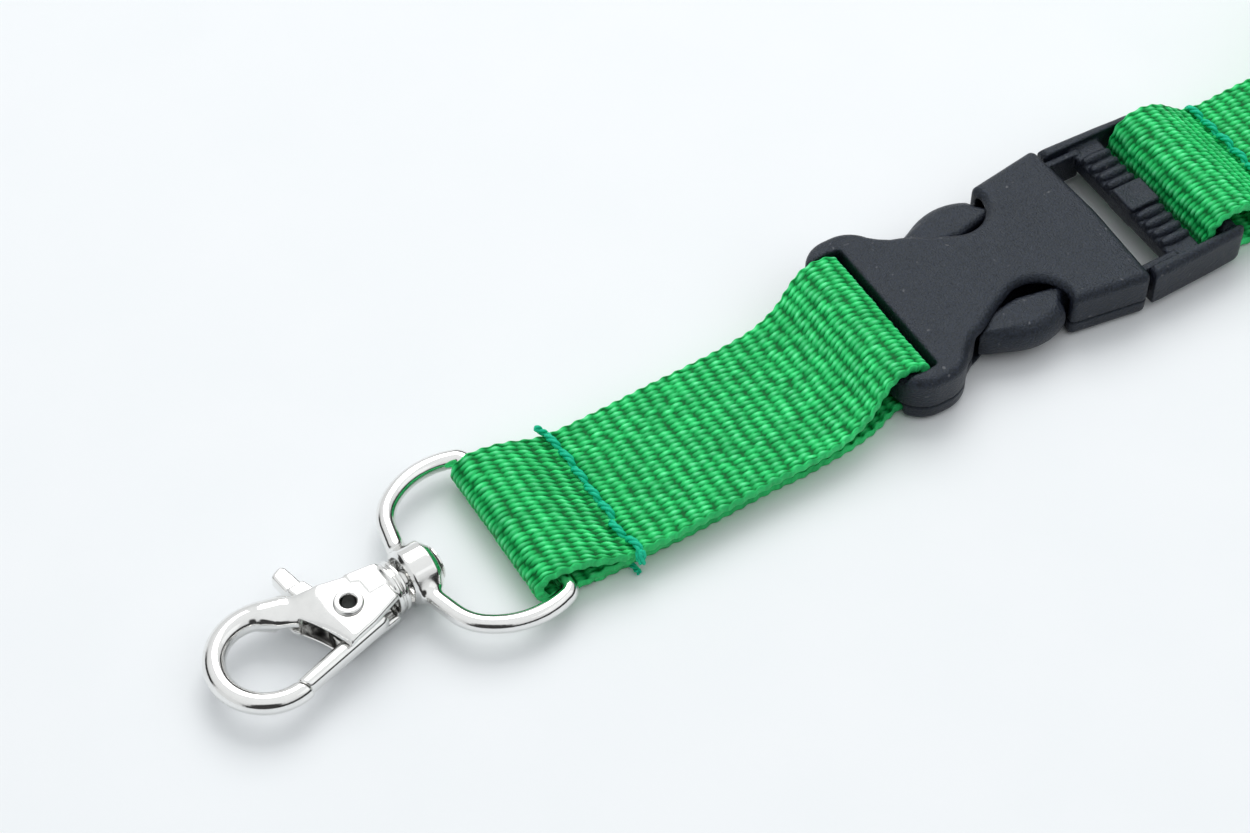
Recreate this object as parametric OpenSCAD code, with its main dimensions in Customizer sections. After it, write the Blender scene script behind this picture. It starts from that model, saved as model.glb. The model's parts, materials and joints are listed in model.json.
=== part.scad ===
// Lanyard end: a trigger hook on a swivelling D-ring, a short sewn webbing loop, a side-release
// buckle, and the neck strap folded flat and tied behind it.
// +X runs along the buckle from the hook to the neck strap, +Z is up, and the origin is the
// centre of the female buckle's underside, on the surface that everything lies on.

/* [Webbing] */
// Width of the webbing
web_w = 20; // [19.4:0.1:20]
// Thickness of the webbing
web_t = 1.3; // [1.1:0.05:1.3]
// Sewing thread diameter
thread_d = 0.5; // [0.4:0.05:0.6]

/* [Buckle] */
// Height of the buckle
buckle_h = 6.9; // [6.7:0.1:7.2]
// Half width at the buckle's mouth
mouth_hw = 12.2; // [12:0.1:12.4]
// Length of the webbing slot in the tail
tail_slot_l = 20.6; // [20.4:0.1:21]
// Number of grip ribs on each side of the ladder bar
ladder_ribs = 4; // [3:1:5]

/* [Ring and swivel] */
// Wire diameter of the D-ring
ring_wire = 2.2; // [2:0.1:2.3]
// Diameter of the ring's hub
hub_d = 6.8; // [6.4:0.1:7]
// Diameter of the swivel post
post_d = 2.4; // [2.2:0.1:2.6]

/* [Hook] */
// Section diameter of the claw
claw_d = 2.5; // [2.3:0.1:2.7]
// Centre-line radius of the claw
claw_r = 5.8; // [5.6:0.1:5.9]
// Outside diameter of the tubular rivet
rivet_d = 2.5; // [2.3:0.1:2.6]

/* [Neck strap] */
// Length of each run of the folded hank
hank_run = 80; // [60:1:90]
// Doubled runs in the hank
hank_runs = 5; // [3:2:5]

/* [Hidden] */

$fn = 48;
eps = 0.01;

// Where the swivel sits: hub centre, and the slight turns of the ring and of the hook on it.
hub_at = [-77.7, -3.5, 3.4];
ring_yaw = 3.8;
hook_yaw = 6.3;

// Ring wire, in the ring's own frame with the hub at the origin.
ring_drop = 2.9;       // the wire slopes down towards its bar, degrees
wire_r = ring_wire / 2;
wire_sides = 16;
side_start = [0.75, 6.9];
side_turn = 14;        // heading where the first bend starts, from +Y towards +X
bend_a = 5.8;
bend_a_end = 52;
bend_b = 10;
bend_b_end = 110;
bend_c = 1.4;

// Hub and post
hub_back = -1.9;
hub_front = 2.2;
hub_dish = 0.9;
post_clear = 0.1;
flange_x = [-3.8, -2.4];
flange_r = 2.9;
head_r = 2.1;
head_x = [2.4, 2.9];

// Hook housing, in the hook's own frame with the hub at the origin.
plate_t = 1.1;
plate_top = 2.6;       // top face of the upper plate above the swivel axis
pivot = [-9, -0.5];
claw_at = [-19.2, 0.25];
claw_root = [-14.7, 4.8];
claw_joint_r = 10.5;   // the claw ends and the gate begins on this circle round the pivot
gate_gap = 0.15;
gate_h = 2.4;
rivet_bore = 1.8;
rivet_head_d = 3.5;
rivet_head_t = 0.45;
gate_run_clear = 0.08;
spring_wire = 0.36;
spring_r = 1.75;
spring_coils = 3;

// Female buckle
wall = 1.1;
tail_x = -17.6;
front_x = 18;
slot_x = [-14.6, -12.5];
bar_z = [2.1, 5.8];    // tail bar that the webbing wraps
window_at = [3, 9.3];
window_r = 4.3;
window_end = 7;
socket_back = -7;
groove = 0.25;
parting_z = 2.4;

// Male frame
shoulder_x = 18.15;
frame_end = 32.6;
frame_z = [0.5, 6.3];
ladder_x = [21.9, 26.3];
ladder_z = [3.1, 5.4];
end_bar_x = [29.6, 31.8];
end_bar_z = [2.2, 6];
plug_x = [14.6, 16.6];
plug_z = [1.35, 5.55];
arm_root = [14.3, 8.2];
arm_root_r = 0.7;
arm_root_clear = 0.06;
arm_z = [1.3, 5.6];
guide_w = 3;

// Webbing routes: [x, z, y] of the middle of the webbing, in order along it.
layer = web_t + 0.06;
hook_route = [
    [-50.8, 2.02, -3.6], [-54, 2.02, -3.6], [-57, 2.02, -3.5], [-58.8, 1.85, -3.3],
    [-60.6, 1.3, -3.1], [-62.5, 0.92, -2.9], [-65.1, 0.86, -2.7], [-66.42, 1.4, -2.7],
    [-66.97, 2.73, -2.7], [-66.42, 4.06, -2.7], [-65.1, 4.6, -2.7], [-62.6, 4.58, -2.95],
    [-60.4, 4.3, -3.3], [-58, 3.75, -3.75], [-55.5, 3.43, -4.05], [-50, 3.42, -4.1],
    [-44, 3.5, -3.9], [-36, 3.6, -3.6], [-30, 3.75, -3.45], [-26.5, 4.1, -3.1],
    [-23, 4.9, -2.2], [-20.5, 5.8, -1], [-18.6, 6.55, -0.3], [-17, 6.82, 0],
    [-15.2, 6.78, 0], [-13.9, 6.15, 0], [-13.55, 5, 0], [-13.55, 3, 0], [-13.85, 1.9, 0],
    [-14.9, 1.15, 0], [-16.5, 0.9, 0], [-18.5, 0.75, -0.3], [-21.5, 0.66, -1.3],
    [-26, 0.66, -2.1], [-36, 0.66, -2.5], [-48, 0.66, -2.9], [-56, 0.66, -3], [-60, 0.66, -3]
];
neck_front = [
    [45.2, 0.66, 0], [40, 0.66, 0], [36, 0.75, 0], [32, 1.2, 0], [29.9, 1.45, 0],
    [28.4, 2, 0], [27.95, 3.2, 0], [28.1, 5, 0], [28.7, 6.6, 0], [30, 7.55, 0],
    [32, 7.8, 0], [34.5, 7, 0], [37, 5.2, 0], [39.3, 3.75, 0], [42, 3.42, 0], [45.5, 3.6, 0]
];
neck_back_end = [[47, 2.3, 0], [43.5, 2.04, 0], [40.5, 2.02, 0], [38.3, 2.1, 0]];
seam_hook_x = -55.3;
seam_hook_y = -4.2;
seam_neck_x = 40.4;
stitch = 2.9;
stitches = 7;

// Hank: doubled webbing folded back and forth, each run above the last.
hank_x0 = 57;
hank_lift = 0.85;
run_pitch = 3.02;
pair_half = layer / 2 + 0.05;
fold_steps = 6;
tie_t = 0.5;
tie_w = 9;

// --- Functions -------------------------------------------------------------------------------

function ring_pt(c, r, h) = c + r * [-cos(h), sin(h)];
function bend_centre(p, r, h) = p + r * [cos(h), -sin(h)];

// Smooth curve through the points of a route, with `n` steps between neighbours.
function at(p, i) = p[max(0, min(len(p) - 1, i))];
function spline(a, b, c, d, t) =
    0.5 * (2 * b + (c - a) * t + (2 * a - 5 * b + 4 * c - d) * t * t
    + (3 * b - a - 3 * c + d) * t * t * t);
function smooth(p, n) = concat(
    [for (i = [0 : len(p) - 2]) for (k = [0 : n - 1])
        spline(at(p, i - 1), at(p, i), at(p, i + 1), at(p, i + 2), k / n)],
    [p[len(p) - 1]]);

// Points of an arc in the plane, for outlines.
function arc(c, r, a, b, n = 12) = [for (i = [0 : n]) let (w = a + (b - a) * i / n) c + r * [cos(w), sin(w)]];
function mirrored(p) = [for (i = [len(p) - 1 : -1 : 0]) [p[i][0], -p[i][1]]];
function unit(v) = v / norm(v);

// Middle line of the hank's doubled webbing: run, fold up, run back, and so on.
function run_z(k) = hank_lift + layer + 0.05 + k * run_pitch;
function fold_pts(x, z, side) = [
    for (i = [1 : fold_steps - 1])
        let (w = -90 + 180 * i / fold_steps)
        [x + side * run_pitch / 2 * cos(w), z + run_pitch / 2 + run_pitch / 2 * sin(w), 0]
];
function hank_line() = [
    for (k = [0 : hank_runs - 1])
        let (out = k % 2 == 0,
             xa = out ? hank_x0 + (k == 0 ? 0 : 3) : hank_x0 + hank_run - 3,
             xb = out ? hank_x0 + hank_run - 3 : hank_x0 + 3)
        for (p = concat(
            [for (j = [0 : 3]) [xa + (xb - xa) * j / 3, run_z(k), 0]],
            k < hank_runs - 1 ? fold_pts(xb, run_z(k), out ? 1 : -1) : []))
        p
];
// The same line moved sideways by d, to the left of travel.
function moved(p, d) = [
    for (i = [0 : len(p) - 1])
        let (t = unit([at(p, i + 1)[0] - at(p, i - 1)[0], at(p, i + 1)[1] - at(p, i - 1)[1]]))
        [p[i][0] - d * t[1], p[i][1] + d * t[0], p[i][2]]
];
function backwards(p) = [for (i = [len(p) - 1 : -1 : 0]) p[i]];
function neck_route() = let (h = hank_line(), e = h[len(h) - 1]) concat(
    neck_front, [[50, 3.7, 0]],
    moved(h, pair_half),
    [[e[0] + 1, e[1] + pair_half * 0.7, 0], [e[0] + 1.4, e[1], 0], [e[0] + 1, e[1] - pair_half * 0.7, 0]],
    backwards(moved(h, -pair_half)),
    [[50, 2.25, 0]], neck_back_end);

// --- Shared shapes ---------------------------------------------------------------------------

// Flat webbing swept along a route: a rectangle, square to the route in the XZ plane.
module webbing(route, n) {
    p = smooth(route, n);
    last = len(p) - 1;
    ring = [for (i = [0 : last])
        let (a = p[max(0, i - 1)], b = p[min(last, i + 1)],
             t = unit([b[0] - a[0], b[1] - a[1]]),
             u = web_t / 2 * [-t[1], t[0]],
             q = p[i])
        [[q[0] + u[0], q[2] - web_w / 2, q[1] + u[1]],
         [q[0] + u[0], q[2] + web_w / 2, q[1] + u[1]],
         [q[0] - u[0], q[2] + web_w / 2, q[1] - u[1]],
         [q[0] - u[0], q[2] - web_w / 2, q[1] - u[1]]]];
    pts = [for (r = ring) for (v = r) v];
    sides = [for (i = [0 : last - 1]) for (k = [0 : 3]) each [
        [4 * i + k, 4 * i + (k + 1) % 4, 4 * i + 4 + k],
        [4 * i + (k + 1) % 4, 4 * i + 4 + (k + 1) % 4, 4 * i + 4 + k]]];
    ends = [[0, 2, 1], [0, 3, 2],
        [4 * last, 4 * last + 1, 4 * last + 2], [4 * last, 4 * last + 2, 4 * last + 3]];
    polyhedron(points = pts, faces = concat(sides, ends));
}

// A row of lock stitches along Y: surface lengths joined by legs that go down into the webbing.
module thread_row(x, y, z_face, z_mid) {
    half = stitches * stitch / 2;
    for (i = [0 : stitches - 1])
        translate([x, y - half + i * stitch, z_face])
            rotate([-90, 0, 0])
                cylinder(d = thread_d, h = stitch, $fn = 16);
    for (i = [0 : stitches])
        translate([x, y - half + i * stitch, min(z_face, z_mid)])
            cylinder(d = thread_d, h = abs(z_face - z_mid), $fn = 16);
}

// A round wire swept along a line in the XY plane, closed at both ends.
module wire(p, r) {
    n = wire_sides;
    last = len(p) - 1;
    ring = [for (i = [0 : last])
        let (t = unit(at(p, i + 1) - at(p, i - 1)), u = [t[1], -t[0]])
        [for (k = [0 : n - 1])
            let (w = 360 * k / n)
            [p[i][0] + r * cos(w) * u[0], p[i][1] + r * cos(w) * u[1], r * sin(w)]]];
    sides = [for (i = [0 : last - 1]) for (k = [0 : n - 1]) each [
        [n * i + k, n * i + (k + 1) % n, n * i + n + k],
        [n * i + (k + 1) % n, n * i + n + (k + 1) % n, n * i + n + k]]];
    polyhedron(points = [for (r = ring) for (v = r) v],
        faces = concat(sides, [[for (k = [n - 1 : -1 : 0]) k]],
            [[for (k = [0 : n - 1]) n * last + k]]));
}

module along_x(x0, x1, r) {
    translate([x0, 0, 0])
        rotate([0, 90, 0])
            cylinder(r = r, h = x1 - x0);
}

module slab(z0, z1) {
    translate([0, 0, z0])
        linear_extrude(z1 - z0)
            children();
}

module box(a, b) {
    translate(a)
        cube(b - a);
}

module in_ring() {
    translate(hub_at)
        rotate([0, 0, ring_yaw])
            children();
}

module in_hook() {
    translate(hub_at)
        rotate([0, 0, hook_yaw])
            children();
}

// --- Hook ------------------------------------------------------------------------------------

module plate_outline() {
    polygon(concat(
        [[-3.2, 2.3], [-7.8, 3.05], [-11.3, 4], [-14, 5], [-17.2, 6]],
        [[-17.4, 4.4], [-16.4, 3.1]],
        arc([-16.6, -3.6], 5.6, 68, 14, 8),
        [[-12, -4.6], [-11.4, -5], [-7.8, -4.2], [-3.2, -2.6]]));
}

module housing_wall() {
    polygon([[-3.2, 2.3], [-7.3, 3], [-7.3, 1.7], [-6.4, 1.2], [-6.4, -0.8], [-3.2, -0.8]]);
}

module claw_shoulder() {
    polygon([[-14.3, 5.1], [-17.2, 6], [-17.4, 4.4], [-16.4, 3.2], [-15.2, 3.6]]);
}

module hook_body() {
    color("gainsboro") in_hook() difference() {
        union() {
            along_x(flange_x[0], flange_x[1], flange_r);
            slab(plate_top - plate_t, plate_top) plate_outline();
            slab(-plate_top, plate_t - plate_top) plate_outline();
            slab(-plate_top, plate_top) housing_wall();
            slab(-plate_top, plate_top) claw_shoulder();
            wire(concat([claw_root], arc(claw_at, claw_r, 68, 295, 36)), claw_d / 2);
        }
        along_x(-8, 0, post_d / 2);
        translate([pivot[0], pivot[1], -plate_top - 1])
            cylinder(d = rivet_d + 0.04, h = 2 * plate_top + 2);
        // The claw's end is cut on the circle that the gate's tip swings along.
        difference() {
            translate([-19.6, -8, -2])
                cube([5, 5, 4]);
            translate([pivot[0], pivot[1], -3])
                difference() {
                    cylinder(r = 30, h = 6, $fn = 96);
                    translate([0, 0, -1]) cylinder(r = claw_joint_r, h = 8, $fn = 96);
                }
        }
    }
}

module gate_outline() {
    intersection() {
        union() {
            polygon([[-20, -6.75], [-18, -6.3], [-12, -5.15], [-6.6, -4.1], [-5.9, -3.5],
                [-6.2, -2.6], [-7.4, -2.2], [-12.4, -3.1], [-18, -4.3], [-20, -4.7]]);
            translate(pivot) circle(r = 2.3);
            polygon([[-7.2, -2.4], [-6.9, -0.4], [-8.4, 1.7], [-10.5, 5.2], [-11.1, 9.2], [-12.2, 9.7],
                [-13.2, 9.2], [-13.1, 6.4], [-12.4, 3.6], [-11.1, 0.4], [-11, -3]]);
        }
        translate(pivot) circle(r = claw_joint_r - gate_gap, $fn = 96);
    }
}

module gate_lever() {
    color("silver") in_hook() difference() {
        slab(-gate_h / 2, gate_h / 2) gate_outline();
        translate([pivot[0], pivot[1], -3]) cylinder(r = rivet_d / 2 + gate_run_clear, h = 6);
        translate([pivot[0], pivot[1], -gate_h / 2 - eps])
            cylinder(r = spring_r + spring_wire / 2 + 0.15, h = spring_coils * spring_wire + 0.1);
        // The tab's upper side is cut away, so that it leaves the housing low.
        translate([-14, 6.2, gate_h / 2 - 0.5]) cube([4, 5, 1]);
    }
}

module gate_rivet() {
    color("lightgrey") in_hook() translate([pivot[0], pivot[1], 0]) difference() {
        union() {
            translate([0, 0, -plate_top - rivet_head_t])
                cylinder(d = rivet_d, h = 2 * (plate_top + rivet_head_t));
            translate([0, 0, plate_top]) cylinder(d = rivet_head_d, h = rivet_head_t);
            translate([0, 0, -plate_top - rivet_head_t]) cylinder(d = rivet_head_d, h = rivet_head_t);
        }
        translate([0, 0, -plate_top - 2]) cylinder(d = rivet_bore, h = 2 * plate_top + 4);
    }
}

module gate_spring() {
    pitch = spring_wire * 0.9;
    color("dimgray") in_hook() translate([pivot[0], pivot[1], -gate_h / 2 + 0.05]) {
        for (i = [0 : spring_coils - 1])
            translate([0, 0, spring_wire / 2 + i * pitch])
                rotate_extrude()
                    translate([spring_r, 0])
                        circle(d = spring_wire, $fn = 16);
    }
}

module swivel_post() {
    color("lightgrey") in_hook() {
        along_x(-5, head_x[1], post_d / 2);
        along_x(head_x[0], head_x[1], head_r);
    }
}

// --- Ring ------------------------------------------------------------------------------------

function ring_side() =
    let (ca = bend_centre(side_start, bend_a, side_turn),
         pb = ring_pt(ca, bend_a, bend_a_end),
         cb = bend_centre(pb, bend_b, bend_a_end),
         pc = ring_pt(cb, bend_b, bend_b_end),
         cc = bend_centre(pc, bend_c, bend_b_end))
    concat([[-0.45, 1.6], [0, 4]],
        [for (h = [side_turn : 6 : bend_a_end - 1]) ring_pt(ca, bend_a, h)],
        [for (h = [bend_a_end : 6 : bend_b_end - 3]) ring_pt(cb, bend_b, h)],
        [for (h = [bend_b_end : 14 : 180]) ring_pt(cc, bend_c, h)],
        [[cc[0] + bend_c, cc[1] - 1]]);

module swivel_ring() {
    chamfer = 0.7;
    color("silver") in_ring() difference() {
        union() {
            rotate([0, 90, 0])
                rotate_extrude()
                    polygon([[0, hub_back], [hub_d / 2 - chamfer, hub_back], [hub_d / 2, hub_back + chamfer],
                        [hub_d / 2, hub_front - chamfer], [hub_d / 2 - chamfer, hub_front], [0, hub_front]]);
            rotate([0, ring_drop, 0]) wire(concat(ring_side(), mirrored(ring_side())), wire_r);
        }
        along_x(hub_back - 1, hub_front + 1, post_d / 2 + post_clear);
        // The hub is dished on the side that faces the hook.
        along_x(hub_back - 1, hub_back + hub_dish, hub_d / 2 - 0.65);
    }
}

// --- Webbing and sewing ----------------------------------------------------------------------

module hook_strap() {
    color("limegreen") webbing(hook_route, 3);
}

module hook_strap_needle_thread() {
    color("teal") thread_row(seam_hook_x, seam_hook_y, 4.12, 2.1);
}

module hook_strap_bobbin_thread() {
    color("teal") thread_row(seam_hook_x, seam_hook_y + 1.1, thread_d / 2 + 0.01, 1.75);
}

module neck_strap() {
    color("limegreen") webbing(neck_route(), 2);
}

module neck_strap_needle_thread() {
    color("teal") thread_row(seam_neck_x, -0.1, 4.2, 2.1);
}

module neck_strap_bobbin_thread() {
    color("teal") thread_row(seam_neck_x, 0.1, thread_d / 2 + 0.01, 1.75);
}

module hank_tie() {
    hank_top = run_z(hank_runs - 1) + layer + 0.1;
    inner_hw = web_w / 2 + 0.5;
    color("black") translate([hank_x0 + hank_run / 2 - tie_w / 2, 0, 0]) difference() {
        box([0, -inner_hw - tie_t, 0], [tie_w, inner_hw + tie_t, hank_top + 0.25 + tie_t]);
        box([-1, -inner_hw, tie_t], [tie_w + 1, inner_hw, hank_top + 0.25]);
    }
}

// --- Female buckle ---------------------------------------------------------------------------

function female_half() = concat(
    [[tail_x, 0], [tail_x, 9.6]],
    arc([-14.4, 9.6], 3.2, 180, 90, 6),
    arc([-11.7, 9.5], 3.3, 90, 38, 6),
    [[-7.6, 10.1], [-6.1, 8.9], [-4.8, 8.5]],
    [[-3.6, 7.9], [-1.4, 6.6]],
    arc(window_at, window_r, -118, -8, 10),
    [[window_end, 10.4], [window_end + 0.4, 10.8]],
    [[16.4, mouth_hw - 0.05]],
    arc([16.5, mouth_hw - 1], 1, 90, 0, 4),
    [[front_x, 0]]);

module female_outline() {
    polygon(concat(female_half(), mirrored(female_half())));
}

module socket_outline() {
    polygon([[front_x + 1, 10.9], [front_x - 1, 10.8], [window_end, 9.5], [window_end - 0.5, 14],
        [-4, 14], [socket_back, 6.2], [socket_back, -6.2], [-4, -14], [window_end - 0.5, -14],
        [window_end, -9.5], [front_x - 1, -10.8], [front_x + 1, -10.9]]);
}

module female_buckle() {
    hw = tail_slot_l / 2;
    color([0.17, 0.17, 0.19]) difference() {
        slab(0, buckle_h) female_outline();
        slab(wall, buckle_h - wall) socket_outline();
        // Webbing slot, with the bar behind it lowered above and relieved below.
        box([slot_x[0], -hw, -1], [slot_x[1], hw, buckle_h + 1]);
        box([tail_x - 1, -hw, bar_z[1]], [slot_x[0] + eps, hw, buckle_h + 1]);
        box([tail_x - 1, -hw, -1], [slot_x[0] + eps, hw, bar_z[0]]);
        // Mould line round the sides.
        slab(parting_z - groove / 2, parting_z + groove / 2)
            difference() {
                square([60, 40], center = true);
                intersection() {
                    translate([groove / 2, 0]) female_outline();
                    translate([-groove / 2, -groove]) female_outline();
                    translate([0, groove]) female_outline();
                }
            }
    }
}

// --- Male half -------------------------------------------------------------------------------

function rail_half() = [
    [shoulder_x, 12.1], [shoulder_x + 1, 12.15], [26.6, 11.9], [31, 11.65], [frame_end - 0.9, 11.4],
    [frame_end, 10.4], [frame_end, 0]];

module frame_outline() {
    polygon(concat([[shoulder_x, 0]], rail_half(), mirrored(rail_half())));
}

module male_frame() {
    in_w = 10.55;
    rib_zone = 8.6;
    pad_w = 4.2;
    rib_pitch = (rib_zone - pad_w / 2) / ladder_ribs;
    color([0.17, 0.17, 0.19]) difference() {
        union() {
            difference() {
                slab(frame_z[0], frame_z[1]) frame_outline();
                box([shoulder_x - 1, -in_w, -1], [frame_end + 1, in_w, buckle_h + 1]);
            }
            // Ladder bar with its grip ribs and plain middle pad.
            box([ladder_x[0], -in_w - eps, ladder_z[0]], [ladder_x[1], in_w + eps, ladder_z[1]]);
            box([ladder_x[0], -pad_w / 2, ladder_z[0]], [ladder_x[1], pad_w / 2, 6.2]);
            for (side = [-1, 1], k = [0 : ladder_ribs - 1])
                translate([ladder_x[0], side * (pad_w / 2 + rib_pitch * (k + 0.55)), 5.3])
                    rotate([0, 90, 0])
                        cylinder(r = 0.8, h = ladder_x[1] - ladder_x[0], $fn = 24);
            // Bar that the neck strap wraps.
            box([end_bar_x[0], -in_w - eps, end_bar_z[0]], [end_bar_x[1], in_w + eps, end_bar_z[1]]);
            // Rails carried into the socket, the plug's cross bar and its centre guide.
            for (side = [-1, 1])
                box([plug_x[0], side > 0 ? 9.35 : -10.35, plug_z[0]],
                    [ladder_x[0] + 1, side > 0 ? 10.35 : -9.35, plug_z[1]]);
            box([plug_x[0], -9.4, plug_z[0]], [plug_x[1], 9.4, plug_z[1]]);
            box([-5, -guide_w / 2, plug_z[0] + 0.4], [plug_x[1], guide_w / 2, plug_z[1] - 0.4]);
        }
        // Seats for the rounded roots of the latch arms.
        for (side = [-1, 1])
            translate([arm_root[0], side * arm_root[1], 0])
                cylinder(r = arm_root_r + arm_root_clear, h = buckle_h);
    }
}

// One latch arm, on the +Y side: a thin beam from the plug's cross bar, and the pad that fills
// the buckle's side window and catches behind its edge.
module latch_outline() {
    polygon(concat(
        [arm_root + [0.1, 0.5], arm_root - [-0.1, 0.5], [7, 6.6], [2, 5.7], [-2.2, 6.1], [-4.4, 7.7]],
        [[-5, 8.5], [-1.5, 10], [1.3, 11.05], [2.4, 11.1], [5.2, 10.7]],
        [[6.55, 10.3], [6.55, 8.7], [7.2, 8.2]]));
}

module latch_arm() {
    union() {
        slab(arm_z[0], arm_z[1]) latch_outline();
        translate([arm_root[0], arm_root[1], arm_z[0]])
            cylinder(r = arm_root_r, h = arm_z[1] - arm_z[0]);
    }
}

module latch_arm_left() {
    color([0.15, 0.15, 0.17]) latch_arm();
}

module latch_arm_right() {
    color([0.15, 0.15, 0.17]) mirror([0, 1, 0]) latch_arm();
}

hook_body();
gate_lever();
gate_rivet();
gate_spring();
swivel_post();
swivel_ring();
hook_strap();
hook_strap_needle_thread();
hook_strap_bobbin_thread();
female_buckle();
male_frame();
latch_arm_left();
latch_arm_right();
neck_strap();
neck_strap_needle_thread();
neck_strap_bobbin_thread();
hank_tie();
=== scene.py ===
"""Looks of a lanyard end: woven webbing, sewing, plated hook and ring, and a moulded buckle.

Lengths are in millimetres in this file and become metres where a mesh is made. Shapes that are cast or
moulded are built as distance fields and turned into meshes; webbing, thread and wire are swept.
"""

import json
import math

import bpy
import numpy as np
from mathutils import Matrix, Vector


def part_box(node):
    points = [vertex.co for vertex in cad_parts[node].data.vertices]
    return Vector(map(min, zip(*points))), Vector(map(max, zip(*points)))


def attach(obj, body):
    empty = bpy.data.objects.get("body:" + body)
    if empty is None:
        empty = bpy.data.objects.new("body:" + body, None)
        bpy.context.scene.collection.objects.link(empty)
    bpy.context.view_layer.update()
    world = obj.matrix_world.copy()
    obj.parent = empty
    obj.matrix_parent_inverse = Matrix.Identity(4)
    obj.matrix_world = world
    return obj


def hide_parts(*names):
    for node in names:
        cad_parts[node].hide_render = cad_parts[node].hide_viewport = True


MM = 0.001
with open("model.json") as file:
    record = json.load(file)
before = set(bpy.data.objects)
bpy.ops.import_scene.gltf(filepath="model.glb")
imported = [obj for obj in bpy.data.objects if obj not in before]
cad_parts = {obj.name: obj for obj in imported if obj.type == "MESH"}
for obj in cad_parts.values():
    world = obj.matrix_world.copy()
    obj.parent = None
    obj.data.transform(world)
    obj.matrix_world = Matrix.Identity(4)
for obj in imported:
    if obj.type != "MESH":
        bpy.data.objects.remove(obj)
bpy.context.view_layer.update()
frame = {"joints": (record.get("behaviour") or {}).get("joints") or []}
JOINTS = {j["name"]: j for j in frame["joints"]}
RNG_SEED = 20

# --- Driving dimensions, as in the part ---

WEB_W = 20.0
WEB_T = 1.3
RIBS = 29              # warp ribs across the webbing
FLOAT_PITCH = 1.71     # spacing of the columns of floats along the webbing
RIB_PITCH = WEB_W / RIBS
RELIEF = 0.3           # depth of the weave
THREAD_PLY_R = 0.235
THREAD_TWIST = 2.6
STITCH = 2.9

BUCKLE_H = 6.9
WALL = 1.1
PARTING_Z = 2.4
TAIL_X = -17.6
FRONT_X = 18.0
SHOULDER_X = 18.15
FRAME_END = 32.6

HOOK_ROUTE = [
    [-50.8, 2.02, -3.6], [-54, 2.02, -3.6], [-57, 2.02, -3.5], [-58.8, 1.85, -3.3],
    [-60.6, 1.3, -3.1], [-62.5, 0.92, -2.9], [-65.1, 0.86, -2.7], [-66.42, 1.4, -2.7],
    [-66.97, 2.73, -2.7], [-66.42, 4.06, -2.7], [-65.1, 4.6, -2.7], [-62.6, 4.58, -2.95],
    [-60.4, 4.3, -3.3], [-58, 3.75, -3.75], [-55.5, 3.43, -4.05], [-50, 3.42, -4.1],
    [-44, 3.5, -3.9], [-36, 3.6, -3.6], [-30, 3.75, -3.45], [-26.5, 4.1, -3.1],
    [-23, 4.9, -2.2], [-20.5, 5.8, -1], [-18.6, 6.55, -0.3], [-17, 6.82, 0],
    [-15.2, 6.78, 0], [-13.9, 6.15, 0], [-13.55, 5, 0], [-13.55, 3, 0], [-13.85, 1.9, 0],
    [-14.9, 1.15, 0], [-16.5, 0.9, 0], [-18.5, 0.75, -0.3], [-21.5, 0.66, -1.3],
    [-26, 0.66, -2.1], [-36, 0.66, -2.5], [-48, 0.66, -2.9], [-56, 0.66, -3], [-60, 0.66, -3],
]
NECK_FRONT = [
    [45.2, 0.66, 0], [40, 0.66, 0], [36, 0.75, 0], [32, 1.2, 0], [29.9, 1.45, 0],
    [28.4, 2, 0], [27.95, 3.2, 0], [28.1, 5, 0], [28.7, 6.6, 0], [30, 7.55, 0],
    [32, 7.8, 0], [34.5, 7, 0], [37, 5.2, 0], [39.3, 3.75, 0], [42, 3.42, 0], [45.5, 3.6, 0],
]
NECK_BACK_END = [[47, 2.3, 0], [43.5, 2.04, 0], [40.5, 2.02, 0], [38.3, 2.1, 0]]
SEAM_HOOK = (-55.3, -4.2)
SEAM_NECK = (40.4, 0.0)
HANK_X0 = 57.0
HANK_RUN = 80.0
HANK_RUNS = 5
HANK_LIFT = 0.85
RUN_PITCH = 3.02
LAYER = WEB_T + 0.06
PAIR_HALF = LAYER / 2 + 0.05
FOLD_STEPS = 6

# --- Small helpers ---


def lookat_camera(name, target, azimuth, elevation, roll, distance, lens):
    """Camera at the photograph's angle. Angles are in degrees and lengths in millimetres."""
    a, e = math.radians(azimuth), math.radians(elevation)
    back = Vector((math.sin(a) * math.cos(e), -math.cos(a) * math.cos(e), math.sin(e)))
    right = Vector((0, 0, 1)).cross(back).normalized()
    up = back.cross(right)
    r = math.radians(roll)
    right, up = right * math.cos(r) + up * math.sin(r), up * math.cos(r) - right * math.sin(r)
    data = bpy.data.cameras.new(name)
    data.sensor_width = 36.0
    data.lens = lens
    data.clip_start = 0.01
    camera = bpy.data.objects.new(name, data)
    rows = Matrix((right, up, back)).transposed().to_4x4()
    rows.translation = (Vector(target) + back * distance) * MM
    camera.matrix_world = rows
    bpy.context.scene.collection.objects.link(camera)
    bpy.context.scene.camera = camera


def make_mesh(name, verts, faces, material, attributes=None, sharp=None):
    """A smooth-shaded object from vertices in millimetres."""
    data = bpy.data.meshes.new(name)
    faces = faces if isinstance(faces, list) else faces.tolist()
    data.from_pydata((np.asarray(verts, float) * MM).tolist(), [], faces)
    for key, (kind, values) in (attributes or {}).items():
        attribute = data.attributes.new(key, kind, "POINT")
        field = "vector" if kind == "FLOAT_VECTOR" else "value"
        attribute.data.foreach_set(field, np.asarray(values, np.float32).ravel())
    data.shade_smooth()
    if sharp is not None:
        data.set_sharp_from_angle(angle=math.radians(sharp))
    data.materials.append(material)
    data.validate()
    obj = bpy.data.objects.new(name, data)
    bpy.context.scene.collection.objects.link(obj)
    return obj


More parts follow.
